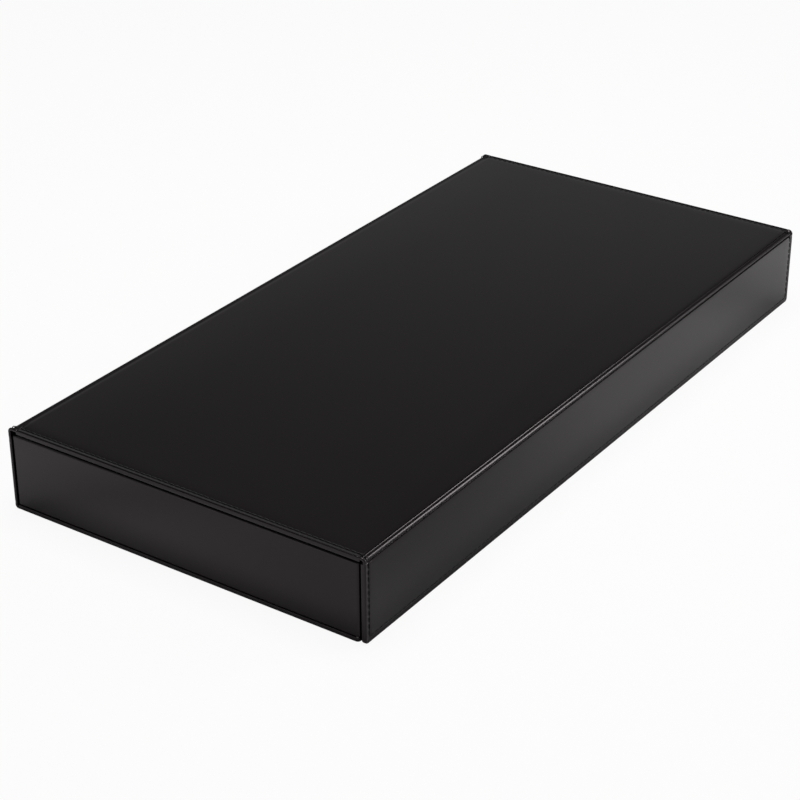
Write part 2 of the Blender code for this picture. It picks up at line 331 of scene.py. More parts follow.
def makeSuede(name, look, napScale, napDepth):
    material, tree, shader = newMaterial(name, IOR=1.45, Sheen_Weight=0.35, Sheen_Roughness=0.5)
    where = addNode(tree, "ShaderNodeTexCoord", output=3)
    nap = noise(tree, where, napScale, 3.0, 0.65)
    strokes = noise(tree, where, 24.0, 3.0, 0.6)
    broad = noise(tree, where, 7.0, 2.0)
    colour = mixColours(tree, nap * 0.55 + strokes * 0.35 + broad * 0.15, look["dark"], look["light"])
    bump = addNode(tree, "ShaderNodeBump", {}, {"Strength": 0.6, "Distance": napDepth, "Height": nap + strokes * 0.6})
    feed(tree, shader, Base_Color=colour, Roughness=0.86 + nap * 0.12, Normal=bump)
    return material


boardLook = {"dark": (0.215, 0.200, 0.178, 1.0), "light": (0.37, 0.345, 0.31, 1.0), "fleck": (0.13, 0.12, 0.11, 1.0)}


def makeBoard(name, look):
    material, tree, shader = newMaterial(name, IOR=1.45)
    where = addNode(tree, "ShaderNodeTexCoord", output=3)
    pulp = noise(tree, where, 320.0, 4.0, 0.65)
    fibres = noise(tree, where, 1400.0, 2.0)
    flecks = addNode(tree, "ShaderNodeTexVoronoi", {"feature": "F1"}, {"Vector": where, "Scale": 420.0})
    spots = addNode(
        tree, "ShaderNodeValToRGB", {"stops": [(0.0, grey(1)), (0.10, grey(0.8)), (0.16, grey(0))]}, {"Fac": flecks}
    )
    colour = mixColours(tree, pulp * 0.7 + fibres * 0.3, look["dark"], look["light"])
    colour = mixColours(tree, spots * 0.6, colour, look["fleck"])
    bump = addNode(tree, "ShaderNodeBump", {}, {"Strength": 0.4, "Distance": 0.00006, "Height": fibres + pulp})
    feed(tree, shader, Base_Color=colour, Roughness=0.84 + pulp * 0.14, Normal=bump)
    return material


nickelLook = {
    "dark": (0.50, 0.48, 0.44, 1.0), "light": (0.68, 0.66, 0.62, 1.0), "roughness": 0.20, "stretch": (1, 1, 1),
}
steelLook = {
    "dark": (0.34, 0.34, 0.35, 1.0), "light": (0.52, 0.52, 0.53, 1.0), "roughness": 0.33, "stretch": (1, 14, 1),
}


def makeMetal(name, look, scale):
    material, tree, shader = newMaterial(name, Metallic=1.0)
    where = addNode(tree, "ShaderNodeTexCoord", output=3)
    drawn = addNode(tree, "ShaderNodeMapping", {}, {"Vector": where, "Scale": look["stretch"]})
    marks = noise(tree, drawn, scale, 4.0, 0.6)
    smudges = noise(tree, where, 90.0, 2.0)
    colour = mixColours(tree, marks * 0.6 + smudges * 0.4, look["dark"], look["light"])
    bump = addNode(tree, "ShaderNodeBump", {}, {"Strength": 0.15, "Distance": 0.00003, "Height": marks})
    feed(tree, shader, Base_Color=colour, Roughness=look["roughness"] + smudges * 0.18, Normal=bump)
    return material


leather = makeLeather("blackLeatherette", leatherLook)
thread = makeThread("blackThread", threadLook)
suede = makeSuede("charcoalSuede", suedeLook, 1900.0, 0.00009)
padding = makeSuede("charcoalPadding", paddingLook, 1300.0, 0.00014)
board = makeBoard("greyboard", boardLook)
nickel = makeMetal("nickelPlate", nickelLook, 700.0)
steel = makeMetal("punchedSteel", steelLook, 260.0)
print("materials made")

# CAD nodes that stay: their slots get the finish that their record names
finishes = {
    "leatherette": leather, "suede": suede, "padding": padding, "greyboard": board, "nickel": nickel, "steel": steel,
}
for row in frame["record"]["subparts"]:
    for slotted in frame["nodes"][row["node"]].material_slots:
        slotted.material = finishes[row["material_slot"]]


# Cover panels. Each is shaped flat, outer face up at z = 0, then turned and set in place.

panelShape = {
    "edgeRound": 0.85 * mm,
    "innerEdge": 0.5 * mm,
    "cornerRound": 2.4 * mm,
    "innerRound": 0.6 * mm,
    "overhang": 0.10 * mm,
    "skin": 0.6 * mm,
    "turnIn": 12.0 * mm,
    "rowInset": 3.7 * mm,
    "rowReach": 7.4 * mm,
    "rowEnd": 0.3 * mm,
    "holeDip": 0.16 * mm,
    # How far in from a free edge, and how far the face lies below the panel's own plane
    "profile": [
        (0.9, 0.01), (1.2, 0.05), (1.5, 0.11), (1.8, 0.17), (2.1, 0.23), (2.4, 0.28), (2.7, 0.31), (3.0, 0.315),
        (3.4, 0.28), (3.8, 0.22), (4.2, 0.16), (4.6, 0.11), (5.2, 0.08), (6.0, 0.05), (7.0, 0.02),
    ],
    # The same beside a fold
    "crease": [(0.0, 0.20), (0.5, 0.155), (1.1, 0.10), (1.8, 0.05), (2.6, 0.02)],
    "insideShare": 0.5,
}


def sideDistance(spot, low, high, length, sides):
    # Distance in from the nearest free edge.
    far = [length / 2 - abs(spot.y)]
    if "low" in sides:
        far.append(spot.x - low)
    if "high" in sides:
        far.append(high - spot.x)
    return min(far)


def dropAt(inset, shape=panelShape):
    # How far the face lies below its plane at a distance in from a free edge.
    steps = shape["profile"]
    for (near, nearDrop), (far, farDrop) in zip(steps, steps[1:]):
        if near <= inset / mm <= far:
            return (nearDrop + (farDrop - nearDrop) * (inset / mm - near) / (far - near)) * mm
    return 0.0


def stitchRows(low, high, length, sides, inset, rowEnd, pitch):
    # The straight rows of a panel: start, direction, count and real pitch.
    left = low + (inset if "low" in sides else rowEnd)
    right = high - (inset if "high" in sides else rowEnd)
    rows = []
    for y in (inset - length / 2, length / 2 - inset):
        count = round((right - left) / pitch)
        rows.append((Vector((left, y, 0)), Vector((1, 0, 0)), count, (right - left) / count))
    for side, x in (("low", left), ("high", right)):
        if side in sides:
            run = length - 2 * inset
            count = round(run / pitch)
            rows.append((Vector((x, inset - length / 2, 0)), Vector((0, 1, 0)), count, run / count))
    return rows


def makePanel(name, width, length, sides, thick, pitch, shape=panelShape):
    tiny = 0.01 * mm
    low = -width / 2 - (0 if "low" in sides else shape["overhang"])
    high = width / 2 + (0 if "high" in sides else shape["overhang"])
    piece = addBox(name, (low, -length / 2, -thick), (high, length / 2, 0))
    freeX = [(x, way) for side, x, way in (("low", low, 1), ("high", high, -1)) if side in sides]
    hingedX = [(x, way) for side, x, way in (("low", low, 1), ("high", high, -1)) if side not in sides]
    edit(piece, "EDGE")

    def upright(edge):
        first, second = (vertex.co for vertex in edge.verts)
        return abs(first.z - second.z) > thick / 2 and any(abs(first.x - x) < tiny for x, way in freeX)

    if choose(piece, "EDGE", upright):
        bpy.ops.mesh.bevel(offset=shape["cornerRound"], segments=5, affect="EDGES")

    def rim(edge, level):
        first, second = (vertex.co for vertex in edge.verts)
        if abs(first.z - level) > tiny or abs(second.z - level) > tiny:
            return False
        return not any(abs(first.x - x) < tiny and abs(second.x - x) < tiny for x, way in hingedX)

    choose(piece, "EDGE", lambda edge: rim(edge, 0))
    bpy.ops.mesh.bevel(offset=shape["edgeRound"], segments=5, affect="EDGES")
    choose(piece, "EDGE", lambda edge: rim(edge, -thick))
    bpy.ops.mesh.bevel(offset=shape["innerEdge"], segments=4, affect="EDGES")

    def innerHinge(edge):
        first, second = (vertex.co for vertex in edge.verts)
        if max(first.z, second.z) > -thick / 2:
            return False
        return any(abs(first.x - x) < tiny and abs(second.x - x) < tiny for x, way in hingedX)

    choose(piece, "EDGE", innerHinge)
    bpy.ops.mesh.bevel(offset=shape["innerRound"], segments=3, affect="EDGES")

    # Lines that follow the free edges, for the swelling beside the stitches and for the turned-in border
    for inset in [step[0] * mm for step in shape["profile"]] + [shape["turnIn"]]:
        for side in (-1, 1):
            cutAt(piece, (0, side * (length / 2 - inset), 0), (0, 1, 0))
        for x, way in freeX:
            cutAt(piece, (x + way * inset, 0, 0), (1, 0, 0))
    for x, way in hingedX:
        for inset, drop in shape["crease"][1:]:
            cutAt(piece, (x + way * inset * mm, 0, 0), (1, 0, 0))

    # Lines across each row, two to a stitch
    rows = stitchRows(low, high, length, sides, shape["rowInset"], shape["rowEnd"], pitch)
    for start, along, count, step in rows:
        across = 0 if along.y else 1
        reach = shape["rowReach"]

        def nearRow(face, start=start, across=across, reach=reach):
            middle = face.calc_center_median()
            return middle.z > -1.0 * mm and abs(middle[across] - start[across]) < reach - shape["rowInset"] + tiny

        for number in range(2 * count + 1):
            cutAt(piece, start + along * step * number / 2, along, nearRow)

    # The face is drawn down towards the stitches, more at each hole
    for inset, drop in shape["profile"]:
        def online(vertex, inset=inset * mm):
            level = abs(vertex.co.z) < tiny
            return level and abs(sideDistance(vertex.co, low, high, length, sides) - inset) < tiny

        choose(piece, "VERT", online)
        bpy.ops.transform.translate(value=(0, 0, -drop * mm))

        def onlineInside(vertex, inset=inset * mm):
            level = abs(vertex.co.z + thick) < tiny
            return level and abs(sideDistance(vertex.co, low, high, length, sides) - inset) < tiny

        choose(piece, "VERT", onlineInside)
        bpy.ops.transform.translate(value=(0, 0, drop * mm * shape["insideShare"]))
    holes = [start + along * step * number for start, along, count, step in rows for number in range(count + 1)]
    holeSet = {(round(spot.x / tiny / 4), round(spot.y / tiny / 4)) for spot in holes}

    def atHole(vertex):
        key = (round(vertex.co.x / tiny / 4), round(vertex.co.y / tiny / 4))
        return vertex.co.z > -1.0 * mm and key in holeSet

    choose(piece, "VERT", atHole)
    bpy.ops.transform.translate(value=(0, 0, -shape["holeDip"]))
    for x, way in hingedX:
        for inset, drop in shape["crease"]:
            def inCrease(vertex, place=x + way * inset * mm):
                return vertex.co.z > -thick / 2 and abs(vertex.co.x - place) < tiny

            choose(piece, "VERT", inCrease)
            bpy.ops.transform.translate(value=(0, 0, -drop * mm))

    # The middle of the inner side is open for the liner, and the rest becomes a skin of real thickness
    def innerField(face):
        middle = face.calc_center_median()
        if middle.z > tiny - thick or sideDistance(middle, low, high, length, sides) < shape["turnIn"]:
            return False
        return all(abs(middle.x - x) > shape["crease"][-1][0] * mm for x, way in hingedX)

    choose(piece, "FACE", innerField)
    bpy.ops.mesh.delete(type="FACE")
    leave()
    wrap = piece.modifiers.new("skin", "SOLIDIFY")
    wrap.thickness = shape["skin"]
    wrap.offset = -1
    applyAll(piece)
    smooth(piece, 50)
    return piece, rows


def placePanel(piece, turn, place):
    piece.rotation_euler = (0, turn, 0)
    piece.location = place
    settle(piece)


linerShape = {"thick": 0.55 * mm, "gap": 0.35 * mm, "hingeGap": 1.5 * mm, "soft": 0.18 * mm}


def makeLiner(name, width, length, sides, thick, shape=linerShape):
    inset = panelShape["turnIn"] + shape["gap"]
    low = -width / 2 + (inset if "low" in sides else shape["hingeGap"])
    high = width / 2 - (inset if "high" in sides else shape["hingeGap"])
    end = length / 2 - inset
    piece = addBox(name, (low, -end, -thick), (high, end, shape["thick"] - thick))
    soft = piece.modifiers.new("soft edges", "BEVEL")
    soft.width = shape["soft"]
    soft.segments = 3
    applyAll(piece)
    smooth(piece)
    return piece


# One stitch, laid along x with its holes at both ends, then repeated for each row.

stitchShape = {
    "length": 3.5 * mm, "radius": 0.30 * mm, "flat": 0.72, "endDrop": 0.26 * mm,
    # Share of the stitches' distance that the thread covers
    "cover": 0.86,
}


def makeStitch(name, pitch, shape=stitchShape):
    deselect()
    length = min(shape["length"], pitch * shape["cover"])
    bpy.ops.mesh.primitive_cylinder_add(
        vertices=6, radius=shape["radius"], depth=length, end_fill_type="NGON", rotation=(0, quarter, 0)
    )
    piece = bpy.context.object
    piece.name = name
    piece.data.name = name
    settle(piece)
    edit(piece, "EDGE")
    for share in (-0.36, -0.22, 0, 0.22, 0.36):
        cutAt(piece, (share * length, 0, 0), (1, 0, 0))
    choose(piece, "VERT", lambda vertex: abs(vertex.co.x) > length * 0.45)
    bpy.ops.transform.translate(value=(0, 0, -shape["endDrop"]))
    choose(piece, "VERT", lambda vertex: 0.3 * length < abs(vertex.co.x) < 0.45 * length)
    bpy.ops.transform.translate(value=(0, 0, -shape["endDrop"] * 0.35))
    bpy.ops.mesh.select_all(action="SELECT")
    bpy.ops.transform.resize(value=(1, 1, shape["flat"]))
    leave()
    smooth(piece, 70)
    return piece


def sewRow(name, start, along, count, step, level, flipped=False):
    piece = makeStitch(name, step)
    if flipped:
        piece.rotation_euler = (math.pi, 0, 0)
        settle(piece)
    if along.y:
        piece.rotation_euler = (0, 0, quarter)
        settle(piece)
    piece.location = start + along * step / 2 + Vector((0, 0, level))
    settle(piece)
    rows = piece.modifiers.new("row", "ARRAY")
    rows.count = count
    rows.use_relative_offset = False
    rows.use_constant_offset = True
    rows.constant_offset_displace = along * step
    applyAll(piece)
    return piece


def sewPanel(name, rows, inside, shape=stitchShape):
    groove = dropAt(panelShape["rowInset"])
    pieces = []
    for number, (start, along, count, step) in enumerate(rows):
        level = shape["radius"] * shape["flat"] - groove
        pieces.append(sewRow(f"{name}{number}", start, along, count, step, level))
        if inside:
            level = -panelThick + groove * panelShape["insideShare"] - shape["radius"] * shape["flat"] * 0.5
            pieces.append(sewRow(f"{name}Inside{number}", start, along, count, step, level, True))
    return join(pieces, name)


panels = {
    "base": {
        "width": baseHigh.x - baseLow.x, "sides": ("low",), "turn": math.pi, "pitch": 4.3 * mm,
        "place": ((baseLow.x + baseHigh.x) / 2, 0, 0), "body": "base", "inside": False,
    },
    "spine": {
        "width": spineHigh.z - spineLow.z, "sides": (), "turn": -quarter, "pitch": 4.2 * mm,
        "thick": spineHigh.x - spineLow.x,
        "place": (boxLow.x, 0, (spineLow.z + spineHigh.z) / 2), "body": "base", "inside": False,
    },
    "lid": {
        "width": lidHigh.x - lidLow.x, "sides": (), "turn": 0, "pitch": 4.1 * mm,
        "place": ((lidLow.x + lidHigh.x) / 2, 0, boxHigh.z), "body": "lid", "inside": True,
    },
    "flap": {
        "width": flapHigh.z - flapLow.z, "sides": ("high",), "turn": quarter, "pitch": 4.4 * mm,
        "place": (boxHigh.x, 0, (flapLow.z + flapHigh.z) / 2), "body": "flap", "inside": True,
    },
}
for name, row in panels.items():
    thick = row.get("thick", panelThick)
    skin, rows = makePanel(f"{name}Cover", row["width"], coverLength, row["sides"], thick, row["pitch"])
    placePanel(skin, row["turn"], row["place"])
    finishPiece(skin, leather, row["body"], (f"{name}_skin",))
    liner = makeLiner(f"{name}Lining", row["width"], coverLength, row["sides"], thick)
    placePanel(liner, row["turn"], row["place"])
    finishPiece(liner, suede, row["body"], (f"{name}_liner",))
    sewn = sewPanel(f"{name}Thread", rows, row["inside"])
    placePanel(sewn, row["turn"], row["place"])
    finishPiece(sewn, thread, row["body"])
    print(f"{name} panel made: {len(skin.data.polygons)} faces")


# Folds: the leatherette strip that bends between two panels. It is spun round the corner, and a
# tongue at each end runs down under the panel's edge, so the two make a shallow crease.

foldShape = {
    "thick": 1.8 * mm,
    "tailStart": 0.75 * mm,
    "tail": [(0.15, 0.008), (0.20, 0.032), (0.20, 0.05), (0.20, 0.065), (0.20, 0.075), (0.40, 0.13), (0.70, 0.10)],
    "endIn": 0.05 * mm,
    "endRound": 0.95 * mm,
    "steps": 12,
    "stitchSpan": 3.8 * mm,
    "stitchRadius": 0.30 * mm,
}


def makeFold(name, corner, side, level, radius, flat, shape=foldShape):
    # side and level give the way from the box's middle to the corner, along x and z.
    # flat is the straight run between the bend and the crease.
    centre = Vector((corner[0] - side * radius, 0, corner[1] - level * radius))
    length = coverLength - 2 * shape["endIn"]
    tiny = 0.01 * mm
    deselect()
    bpy.ops.mesh.primitive_plane_add(size=1, location=(centre.x, 0, corner[1] - level * shape["thick"] / 2))
    piece = bpy.context.object
    piece.name = name
    piece.data.name = name
    piece.scale = (shape["thick"], length, 1)
    piece.rotation_euler = (0, quarter, 0)
    settle(piece)
    edit(piece, "FACE")
    bpy.ops.mesh.select_all(action="SELECT")
    bpy.ops.mesh.spin(
        steps=shape["steps"], angle=-quarter * side * level, center=centre, axis=(0, 1, 0), use_auto_merge=False
    )
    ends = (
        (lambda spot: abs(spot.x - centre.x) < tiny, Vector((-side, 0, 0)), Vector((0, 0, -level))),
        (lambda spot: abs(spot.z - centre.z) < tiny, Vector((0, 0, -level)), Vector((-side, 0, 0))),
    )
    for test, onward, inward in ends:
        choose(piece, "FACE", lambda face: test(face.calc_center_median()) and abs(face.normal.dot(onward)) > 0.9)
        for move in [onward * flat / 3] * (3 if flat else 0):
            bpy.ops.mesh.extrude_region_move(TRANSFORM_OT_translate={"value": move})
        for run, drop in shape["tail"]:
            move = (onward * run + inward * drop) * mm
            bpy.ops.mesh.extrude_region_move(TRANSFORM_OT_translate={"value": move})
    bpy.ops.mesh.select_all(action="SELECT")
    bpy.ops.mesh.remove_doubles(threshold=0.002 * mm)
    bpy.ops.mesh.normals_make_consistent(inside=False)

    def endRim(edge):
        # Between the flat end face and a face that runs along the fold
        facing = [abs(face.normal.y) > 0.9 for face in edge.link_faces]
        return len(facing) == 2 and facing[0] != facing[1]

    choose(piece, "EDGE", endRim)
    bpy.ops.mesh.bevel(offset=shape["endRound"], segments=5, affect="EDGES", clamp_overlap=True)

    # The panels' swelling beside the stitches runs on over the fold
    for inset, drop in panelShape["profile"]:
        for end in (-1, 1):
            place = end * (coverLength / 2 - inset * mm)
            cutAt(piece, (0, place, 0), (0, 1, 0))

            def onOutside(vertex, part, place=place):
                across = (vertex.co.x - centre.x) * side
                up = (vertex.co.z - centre.z) * level
                ends = {"bend": across >= -tiny and up >= -tiny, "top": across < -tiny, "side": up < -tiny}
                reach = {"bend": math.hypot(across, up), "top": up, "side": across}
                return abs(vertex.co.y - place) < tiny and ends[part] and reach[part] > radius - shape["thick"] / 2

            choose(piece, "VERT", lambda vertex: onOutside(vertex, "bend"))
            share = 1 - drop * mm / radius
            bpy.ops.transform.resize(value=(share, 1, share), center_override=centre)
            choose(piece, "VERT", lambda vertex: onOutside(vertex, "top"))
            bpy.ops.transform.translate(value=(0, 0, -level * drop * mm))
            choose(piece, "VERT", lambda vertex: onOutside(vertex, "side"))
            bpy.ops.transform.translate(value=(-side * drop * mm, 0, 0))
    leave()
    smooth(piece, 60)
    return piece


def makeFoldThread(name, corner, side, level, radius, flat, shape=foldShape):
    # Stitches bent round the corner, one or more at each end of the fold.
    centre = Vector((corner[0] - side * radius, 0, corner[1] - level * radius))
    groove = dropAt(panelShape["rowInset"])
    count = max(1, round(quarter * radius / shape["stitchSpan"] - 0.3))
    share = quarter / count
    span = share * stitchShape["cover"]
    pieces = []
    for end in (-1, 1):
        place = end * (coverLength / 2 - panelShape["rowInset"])
        for number in range(count):
            start = share * number + (share - span) / 2
            deselect()
            bpy.ops.mesh.primitive_circle_add(
                vertices=6, radius=shape["stitchRadius"], fill_type="NGON", rotation=(0, quarter, 0),
                location=(centre.x, place, centre.z + level * (radius - groove - shape["stitchRadius"] * 0.2)),
            )
            piece = bpy.context.object
            settle(piece)
            edit(piece, "FACE")
            bpy.ops.mesh.select_all(action="SELECT")
            turn = -start * side * level
            bpy.ops.transform.rotate(value=-turn, orient_axis="Y", center_override=centre)
            bpy.ops.mesh.spin(
                steps=6, angle=-span * side * level, center=centre, axis=(0, 1, 0), use_auto_merge=False
            )
            bpy.ops.mesh.select_all(action="SELECT")
            bpy.ops.mesh.normals_make_consistent(inside=False)

            def atEnd(vertex, start=start):
                angle = math.atan2(abs(vertex.co.x - centre.x), abs(vertex.co.z - centre.z))
                return min(abs(angle - start), abs(angle - start - span)) < span / 20

            choose(piece, "VERT", atEnd)
            sunk = 1 - stitchShape["endDrop"] / radius
            bpy.ops.transform.resize(value=(sunk, 1, sunk), center_override=centre)
            leave()
            smooth(piece, 70)
            pieces.append(piece)
        if flat:
            lift = stitchShape["radius"] * stitchShape["flat"] - groove
            onTop = Vector((centre.x - side * flat / 2, place, corner[1] + level * lift))
            onSide = Vector((corner[0] + side * lift, place, centre.z - level * flat / 2))
            for spot, turn in ((onTop, 0), (onSide, side * quarter)):
                piece = makeStitch(f"{name}Straight", flat)
                piece.rotation_euler = (0, turn, 0)
                piece.location = spot
                settle(piece)
                pieces.append(piece)
    return join(pieces, name)


lidEdge = lidLow.x - boxLow.x
flapEdge = boxHigh.x - lidHigh.x
baseEdge = spineLow.z - boxLow.z
folds = {
    "lid": {
        "corner": (boxLow.x, boxHigh.z), "side": -1, "level": 1, "edge": lidEdge, "bodies": ("base", "lid"),
        "radius": 2.8 * mm,
        "start": (boxLow.x, 0, boxHigh.z - lidEdge), "end": (boxLow.x + lidEdge, 0, boxHigh.z),
    },
    "flap": {
        "corner": (boxHigh.x, boxHigh.z), "side": 1, "level": 1, "edge": flapEdge, "bodies": ("lid", "flap"),
        "start": (boxHigh.x - flapEdge, 0, boxHigh.z), "end": (boxHigh.x, 0, boxHigh.z - flapEdge),
    },
    "base": {"corner": (boxLow.x, boxLow.z), "side": -1, "level": -1, "edge": baseEdge, "bodies": ("base",)},
}
for name, row in folds.items():
    reach = row["edge"] - foldShape["tailStart"]
    radius = row.get("radius", reach)
    strip = makeFold(f"{name}Fold", row["corner"], row["side"], row["level"], radius, reach - radius)
    bent = makeFoldThread(f"{name}FoldThread", row["corner"], row["side"], row["level"], radius, reach - radius)
    if len(row["bodies"]) == 1:
        finishPiece(strip, leather, row["bodies"][0], (f"{name}_fold",))
        finishPiece(bent, thread, row["bodies"][0])
    else:
        finishPiece(strip, leather, None, (f"{name}_fold",))
        finishPiece(bent, thread, None)
        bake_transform(strip)
        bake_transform(bent)
    print(f"{name} fold made, radius {radius / mm:.2f} mm")


# Tray: leatherette drawn round the walls and turned in over the rim

trayShape = {
    "spineRound": 0.7 * mm,
    "flapRound": 2.2 * mm,
    "innerRound": 0.8 * mm,
    "rimRound": 1.8 * mm,
    "rim": 4.5 * mm,
    "turnIn": 10.0 * mm,
    "skin": 0.6 * mm,
}


def makeTrayWrap(name, low, high, shape=trayShape):
    tiny = 0.01 * mm
    piece = addBox(name, low, high)
    edit(piece, "FACE")
    choose(piece, "FACE", lambda face: face.normal.z > 0.9)
    bpy.ops.mesh.inset(thickness=shape["rim"])
    bpy.ops.mesh.extrude_region_move(TRANSFORM_OT_translate={"value": (0, 0, -shape["turnIn"])})
    bpy.ops.mesh.delete(type="FACE")
    choose(piece, "FACE", lambda face: face.normal.z < -0.9)
    bpy.ops.mesh.delete(type="FACE")

    def upright(edge, inner):
        first, second = (vertex.co for vertex in edge.verts)
        if abs(first.z - second.z) < shape["turnIn"] / 2:
            return False
        return (first.x > low.x + shape["rim"] / 2 and first.x < high.x - shape["rim"] / 2) == inner

    for side, key in ((-1, "spineRound"), (1, "flapRound")):
        choose(piece, "EDGE", lambda edge: upright(edge, False) and edge.verts[0].co.x * side > 0)
        bpy.ops.mesh.bevel(offset=shape[key], segments=5, affect="EDGES")
    choose(piece, "EDGE", lambda edge: upright(edge, True))
    bpy.ops.mesh.bevel(offset=shape["innerRound"], segments=3, affect="EDGES")

    def rim(edge):
        if any(abs(vertex.co.z - high.z) > tiny for vertex in edge.verts) or len(edge.link_faces) != 2:
            return False
        facing = [face.normal.z > 0.9 for face in edge.link_faces]
        return facing[0] != facing[1]

    choose(piece, "EDGE", rim)
    bpy.ops.mesh.bevel(offset=shape["rimRound"], segments=5, affect="EDGES")
    leave()
    wrap = piece.modifiers.new("skin", "SOLIDIFY")
    wrap.thickness = shape["skin"]
    wrap.offset = -1
    applyAll(piece)
    smooth(piece, 50)
    return piece


trayWrap = makeTrayWrap("trayWrap", trayLow, trayHigh)
finishPiece(trayWrap, leather, "base", ("tray_wrap",))
print(f"tray wrap made: {len(trayWrap.data.polygons)} faces")


# Floor pads: one is swelled as cloth, then copied into every compartment

padShape = {
    "startShare": 0.95,
    "startHeight": 0.70,
    "soft": 1.1 * mm,
    "voxel": 2.6 * mm,
    "pressure": 4.0,
    "cap": 3.0 * mm,
    "frames": 20,
    "seamIn": 0.25 * mm,
}


def swell(piece, shape):
    # Cloth under pressure, gravity off, and no point moves further than the cap.
    remesh = piece.modifiers.new("even mesh", "REMESH")
    remesh.mode = "VOXEL"
    remesh.voxel_size = shape["voxel"]
    applyAll(piece)
    rest = [vertex.co.copy() for vertex in piece.data.vertices]
    cloth = piece.modifiers.new("swelling", "CLOTH")
    cloth.settings.quality = 5
    cloth.settings.mass = 0.2
    cloth.settings.use_pressure = True
    cloth.settings.uniform_pressure_force = shape["pressure"]
    cloth.settings.effector_weights.gravity = 0
    for number in range(1, shape["frames"] + 1):
        bpy.context.scene.frame_set(number)
    applyAll(piece)
    bpy.context.scene.frame_set(1)
    for vertex, start in zip(piece.data.vertices, rest):
        move = vertex.co - start
        if move.length > shape["cap"]:
            vertex.co = start + move.normalized() * shape["cap"]


def fitTo(piece, low, high):
    # Scales and moves the mesh so that it fills the box from low to high.
    corners = [Vector(corner) for corner in piece.bound_box]
    before = [Vector([pick(corner[i] for corner in corners) for i in range(3)]) for pick in (min, max)]
    scale = Vector([(high[i] - low[i]) / (before[1][i] - before[0][i]) for i in range(3)])
    piece.scale = scale
    piece.location = Vector([low[i] - before[0][i] * scale[i] for i in range(3)])
    settle(piece)


def makePad(name, low, high, shape=padShape):
    size = high - low
    inset = Vector((size.x * (1 - shape["startShare"]) / 2, size.x * (1 - shape["startShare"]) / 2, 0))
    piece = addBox(name, low + inset, (high.x - inset.x, high.y - inset.y, low.z + size.z * shape["startHeight"]))
    edit(piece, "EDGE")
    choose(piece, "EDGE", lambda edge: True)
    bpy.ops.mesh.bevel(offset=shape["soft"], segments=2, affect="EDGES")
    leave()
    swell(piece, shape)
    fitTo(piece, low, high)

    # The seam runs round the sides, half way up
    middle = (low.z + high.z) / 2
    edit(piece, "VERT")
    cutAt(piece, (0, 0, middle), (0, 0, 1))
    choose(piece, "VERT", lambda vertex: abs(vertex.co.z - middle) < 0.01 * mm)
    share = 1 - 2 * shape["seamIn"] / size.x
    bpy.ops.transform.resize(value=(share, 1 - 2 * shape["seamIn"] / size.y, 1), center_override=(low + high) / 2)
    leave()
    fine = piece.modifiers.new("fine", "SUBSURF")
    fine.levels = 1
    fine.render_levels = 1
    applyAll(piece)
    fitTo(piece, low, high)
    smooth(piece, 60)
    return piece


firstLow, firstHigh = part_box("floor_pad_1_1")
firstPad = makePad("floorPad_1_1", firstLow, firstHigh)
pads = {(1, 1): firstPad}
for column in range(1, 5):
    for line in range(1, 4):
        low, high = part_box(f"floor_pad_{column}_{line}")
        if (column, line) != (1, 1):
            pad = copyOf(firstPad, f"floorPad_{column}_{line}")
            pad.location = low - firstLow
            settle(pad)
            pads[column, line] = pad
for (column, line), pad in pads.items():
    finishPiece(pad, padding, "base", (f"floor_pad_{column}_{line}",))
print(f"pads made: {len(firstPad.data.polygons)} faces each")


# Floor, light and camera

stageLook = {
    "floorSize": 9.0,
    "floorWhite": 0.82,
    "floorGlow": 0.92,
    # What the floor gives back, by distance from a point beside the near right corner: painted shade in the floor's
    # colour, darkest at that point, which the leatherette reflects
    "floorPaintedShadePlace": (0.27, -0.14, 0),
    "floorDim": [
        (0.0, 0.26), (0.11, 0.35), (0.22, 0.60), (0.26, 0.62), (0.35, 0.68), (0.405, 0.54), (0.48, 0.82), (0.8, 0.8),
    ],
    # Towards the back left the floor's colour darkens into painted shade, between these two distances
    "floorBackPaintedShadeWay": (-0.77, 0.64, 0),
    "floorBackPaintedShade": (0.22, 0.50, 1.0, 0.12),
    # Brightness of the surroundings by height, z of the direction
    "backSky": [
        (0.0, 0.16), (0.20, 0.28), (0.34, 0.28), (0.38, 0.23), (0.40, 0.19), (0.43, 0.13), (0.47, 0.10),
        (0.52, 0.08), (0.70, 0.04), (1.0, 0.02),
    ],
    "frontSky": [(0.0, 1.25), (0.10, 1.1), (0.18, 0.5), (0.28, 0.12), (0.5, 0.05), (1.0, 0.03)],
    "frontWay": (-0.10, -0.995, 0),
    "lamps": {
        "topLamp": {"place": (0, 0, 1.5), "aim": (0, 0, 0), "size": (1.0, 1.0), "power": 19.0},
        "backLamp": {"place": (0.97, 0.90, 0.53), "aim": (0.10, -0.05, 0.05), "size": (0.28, 0.8), "power": 5.5},
    },
}


def ramp(tree, name, stops, share):
    settings = {"name": name, "stops": [(place, grey(level)) for place, level in stops]}
    return addNode(tree, "ShaderNodeValToRGB", settings, {"Fac": share})


